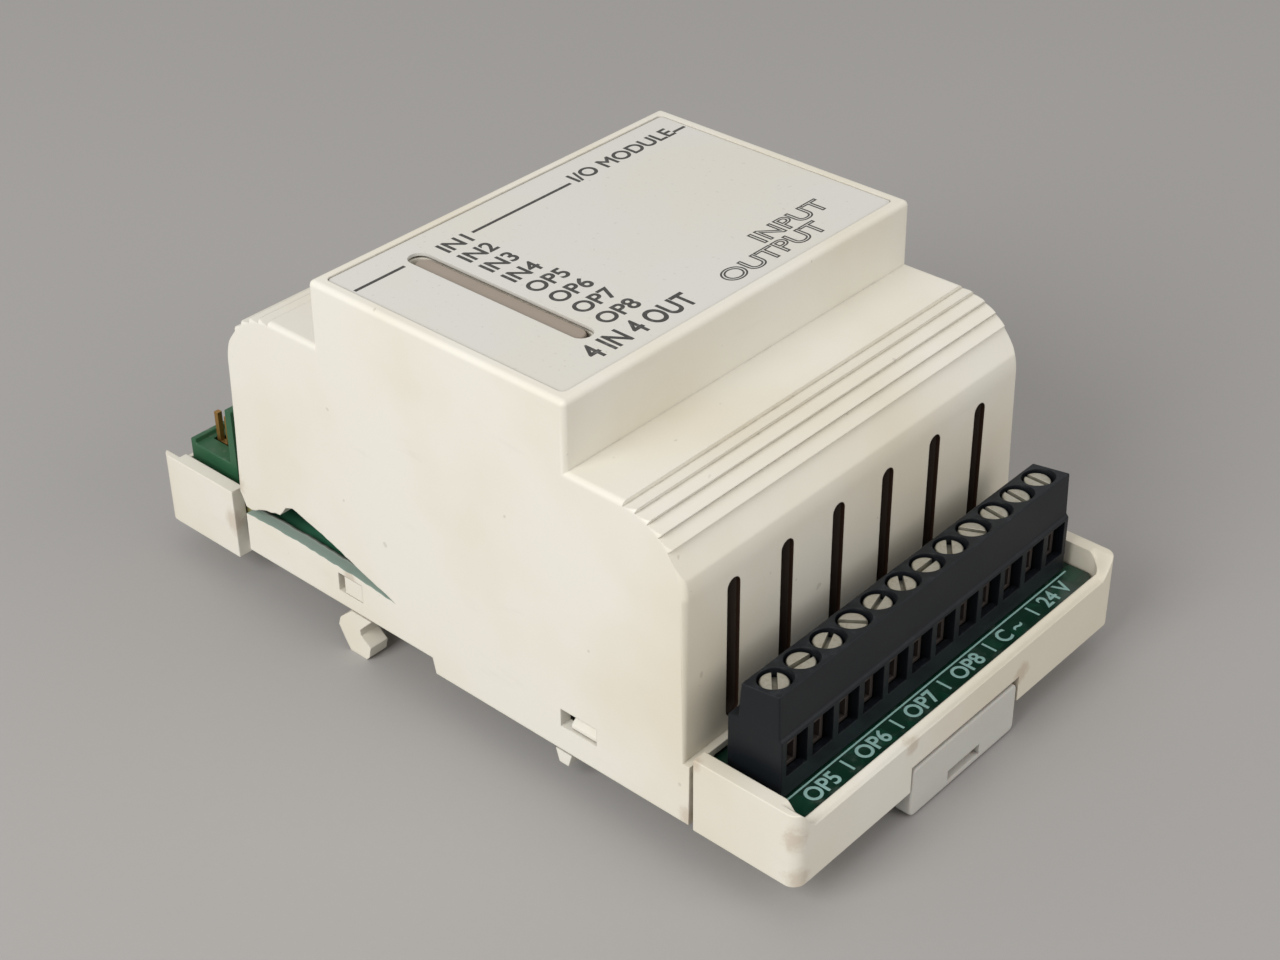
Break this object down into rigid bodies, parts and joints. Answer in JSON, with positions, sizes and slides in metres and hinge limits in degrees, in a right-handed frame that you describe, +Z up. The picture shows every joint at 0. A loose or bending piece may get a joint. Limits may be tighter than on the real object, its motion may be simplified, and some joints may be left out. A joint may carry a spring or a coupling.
{
  "type": "rail-mounted input and output module",
  "caption": "Stepped rail-mounted control module with a vented clip-fitted cover, a lamp slot in its nose, a screw terminal block and a header on a green board, and a sliding rail latch.",
  "frame": {"origin": "centre of the footprint, on the table under the rail hooks", "axes": "+X along the rail; +Y along the case from the screw terminals to the header; +Z up from the rail side to the nose"},
  "size_m": [0.07, 0.119, 0.058],
  "materials": {
    "case": "aged ivory moulding, satin",
    "cover": "aged ivory moulding, satin",
    "label": "printed film, satin",
    "light_guide": "smoked clear moulding",
    "board": "solder resist",
    "lamp": "tinted lens",
    "latch": "natural nylon",
    "terminal": "moulded",
    "screw": "nickel plated, dull",
    "clamp": "zinc plated",
    "header": "moulded",
    "contact": "dull",
    "relay": "moulded",
    "chip": "moulded epoxy",
    "capacitor": "shrunk sleeve"
  },
  "bodies": {
    "base": {"base_tray": "case", "top_cover": "cover", "label_plate": "label", "light_guide": "light_guide", "led_board": "board", "main_board": "board", "terminal_block": "terminal", "input_header": "header", "controller_chip": "chip", "input_isolator": "chip", "filter_capacitor": "capacitor", "led_1": "lamp", "led_2": "lamp", "led_3": "lamp", "led_4": "lamp", "led_5": "lamp", "led_6": "lamp", "led_7": "lamp", "led_8": "lamp", "relay_1": "relay", "relay_2": "relay", "relay_3": "relay", "relay_4": "relay", "header_contact_01": "contact", "header_contact_02": "contact", "header_contact_03": "contact", "header_contact_04": "contact", "header_contact_05": "contact", "header_contact_06": "contact", "header_contact_07": "contact", "header_contact_08": "contact", "header_contact_09": "contact", "header_contact_10": "contact", "header_contact_11": "contact", "header_contact_12": "contact"},
    "latch": {"rail_latch": "latch"},
    "screw_01": {"terminal_screw_01": "screw"},
    "clamp_01": {"wire_clamp_01": "clamp"},
    "screw_02": {"terminal_screw_02": "screw"},
    "clamp_02": {"wire_clamp_02": "clamp"},
    "screw_03": {"terminal_screw_03": "screw"},
    "clamp_03": {"wire_clamp_03": "clamp"},
    "screw_04": {"terminal_screw_04": "screw"},
    "clamp_04": {"wire_clamp_04": "clamp"},
    "screw_05": {"terminal_screw_05": "screw"},
    "clamp_05": {"wire_clamp_05": "clamp"},
    "screw_06": {"terminal_screw_06": "screw"},
    "clamp_06": {"wire_clamp_06": "clamp"},
    "screw_07": {"terminal_screw_07": "screw"},
    "clamp_07": {"wire_clamp_07": "clamp"},
    "screw_08": {"terminal_screw_08": "screw"},
    "clamp_08": {"wire_clamp_08": "clamp"},
    "screw_09": {"terminal_screw_09": "screw"},
    "clamp_09": {"wire_clamp_09": "clamp"},
    "screw_10": {"terminal_screw_10": "screw"},
    "clamp_10": {"wire_clamp_10": "clamp"},
    "screw_11": {"terminal_screw_11": "screw"},
    "clamp_11": {"wire_clamp_11": "clamp"},
    "screw_12": {"terminal_screw_12": "screw"},
    "clamp_12": {"wire_clamp_12": "clamp"}
  },
  "joints": [
    {"name": "latch_slide", "type": "slide", "parent": "base", "child": "latch", "axis": [0, -1, 0], "range_m": [0, 0.004], "stiffness_N_per_m": 800, "springref_m": -0.002},
    {"name": "screw_turn_01", "type": "hinge", "parent": "base", "child": "screw_01", "pos_m": [-0.02794, -0.0499, 0.0276], "axis": [0, 0, 1], "range_deg": [-1800, 0]},
    {"name": "clamp_rise_01", "type": "slide", "parent": "base", "child": "clamp_01", "axis": [0, 0, 1], "range_m": [0, 0.0025]},
    {"name": "screw_turn_02", "type": "hinge", "parent": "base", "child": "screw_02", "pos_m": [-0.02286, -0.0499, 0.0276], "axis": [0, 0, 1], "range_deg": [-1800, 0]},
    {"name": "clamp_rise_02", "type": "slide", "parent": "base", "child": "clamp_02", "axis": [0, 0, 1], "range_m": [0, 0.0025]},
    {"name": "screw_turn_03", "type": "hinge", "parent": "base", "child": "screw_03", "pos_m": [-0.01778, -0.0499, 0.0276], "axis": [0, 0, 1], "range_deg": [-1800, 0]},
    {"name": "clamp_rise_03", "type": "slide", "parent": "base", "child": "clamp_03", "axis": [0, 0, 1], "range_m": [0, 0.0025]},
    {"name": "screw_turn_04", "type": "hinge", "parent": "base", "child": "screw_04", "pos_m": [-0.0127, -0.0499, 0.0276], "axis": [0, 0, 1], "range_deg": [-1800, 0]},
    {"name": "clamp_rise_04", "type": "slide", "parent": "base", "child": "clamp_04", "axis": [0, 0, 1], "range_m": [0, 0.0025]},
    {"name": "screw_turn_05", "type": "hinge", "parent": "base", "child": "screw_05", "pos_m": [-0.00762, -0.0499, 0.0276], "axis": [0, 0, 1], "range_deg": [-1800, 0]},
    {"name": "clamp_rise_05", "type": "slide", "parent": "base", "child": "clamp_05", "axis": [0, 0, 1], "range_m": [0, 0.0025]},
    {"name": "screw_turn_06", "type": "hinge", "parent": "base", "child": "screw_06", "pos_m": [-0.00254, -0.0499, 0.0276], "axis": [0, 0, 1], "range_deg": [-1800, 0]},
    {"name": "clamp_rise_06", "type": "slide", "parent": "base", "child": "clamp_06", "axis": [0, 0, 1], "range_m": [0, 0.0025]},
    {"name": "screw_turn_07", "type": "hinge", "parent": "base", "child": "screw_07", "pos_m": [0.00254, -0.0499, 0.0276], "axis": [0, 0, 1], "range_deg": [-1800, 0]},
    {"name": "clamp_rise_07", "type": "slide", "parent": "base", "child": "clamp_07", "axis": [0, 0, 1], "range_m": [0, 0.0025]},
    {"name": "screw_turn_08", "type": "hinge", "parent": "base", "child": "screw_08", "pos_m": [0.00762, -0.0499, 0.0276], "axis": [0, 0, 1], "range_deg": [-1800, 0]},
    {"name": "clamp_rise_08", "type": "slide", "parent": "base", "child": "clamp_08", "axis": [0, 0, 1], "range_m": [0, 0.0025]},
    {"name": "screw_turn_09", "type": "hinge", "parent": "base", "child": "screw_09", "pos_m": [0.0127, -0.0499, 0.0276], "axis": [0, 0, 1], "range_deg": [-1800, 0]},
    {"name": "clamp_rise_09", "type": "slide", "parent": "base", "child": "clamp_09", "axis": [0, 0, 1], "range_m": [0, 0.0025]},
    {"name": "screw_turn_10", "type": "hinge", "parent": "base", "child": "screw_10", "pos_m": [0.01778, -0.0499, 0.0276], "axis": [0, 0, 1], "range_deg": [-1800, 0]},
    {"name": "clamp_rise_10", "type": "slide", "parent": "base", "child": "clamp_10", "axis": [0, 0, 1], "range_m": [0, 0.0025]},
    {"name": "screw_turn_11", "type": "hinge", "parent": "base", "child": "screw_11", "pos_m": [0.02286, -0.0499, 0.0276], "axis": [0, 0, 1], "range_deg": [-1800, 0]},
    {"name": "clamp_rise_11", "type": "slide", "parent": "base", "child": "clamp_11", "axis": [0, 0, 1], "range_m": [0, 0.0025]},
    {"name": "screw_turn_12", "type": "hinge", "parent": "base", "child": "screw_12", "pos_m": [0.02794, -0.0499, 0.0276], "axis": [0, 0, 1], "range_deg": [-1800, 0]},
    {"name": "clamp_rise_12", "type": "slide", "parent": "base", "child": "clamp_12", "axis": [0, 0, 1], "range_m": [0, 0.0025]}
  ],
  "couplings": [
    {"joint": "screw_turn_01", "follows": "clamp_rise_01", "rad_per_m": -12566},
    {"joint": "screw_turn_02", "follows": "clamp_rise_02", "rad_per_m": -12566},
    {"joint": "screw_turn_03", "follows": "clamp_rise_03", "rad_per_m": -12566},
    {"joint": "screw_turn_04", "follows": "clamp_rise_04", "rad_per_m": -12566},
    {"joint": "screw_turn_05", "follows": "clamp_rise_05", "rad_per_m": -12566},
    {"joint": "screw_turn_06", "follows": "clamp_rise_06", "rad_per_m": -12566},
    {"joint": "screw_turn_07", "follows": "clamp_rise_07", "rad_per_m": -12566},
    {"joint": "screw_turn_08", "follows": "clamp_rise_08", "rad_per_m": -12566},
    {"joint": "screw_turn_09", "follows": "clamp_rise_09", "rad_per_m": -12566},
    {"joint": "screw_turn_10", "follows": "clamp_rise_10", "rad_per_m": -12566},
    {"joint": "screw_turn_11", "follows": "clamp_rise_11", "rad_per_m": -12566},
    {"joint": "screw_turn_12", "follows": "clamp_rise_12", "rad_per_m": -12566}
  ]
}
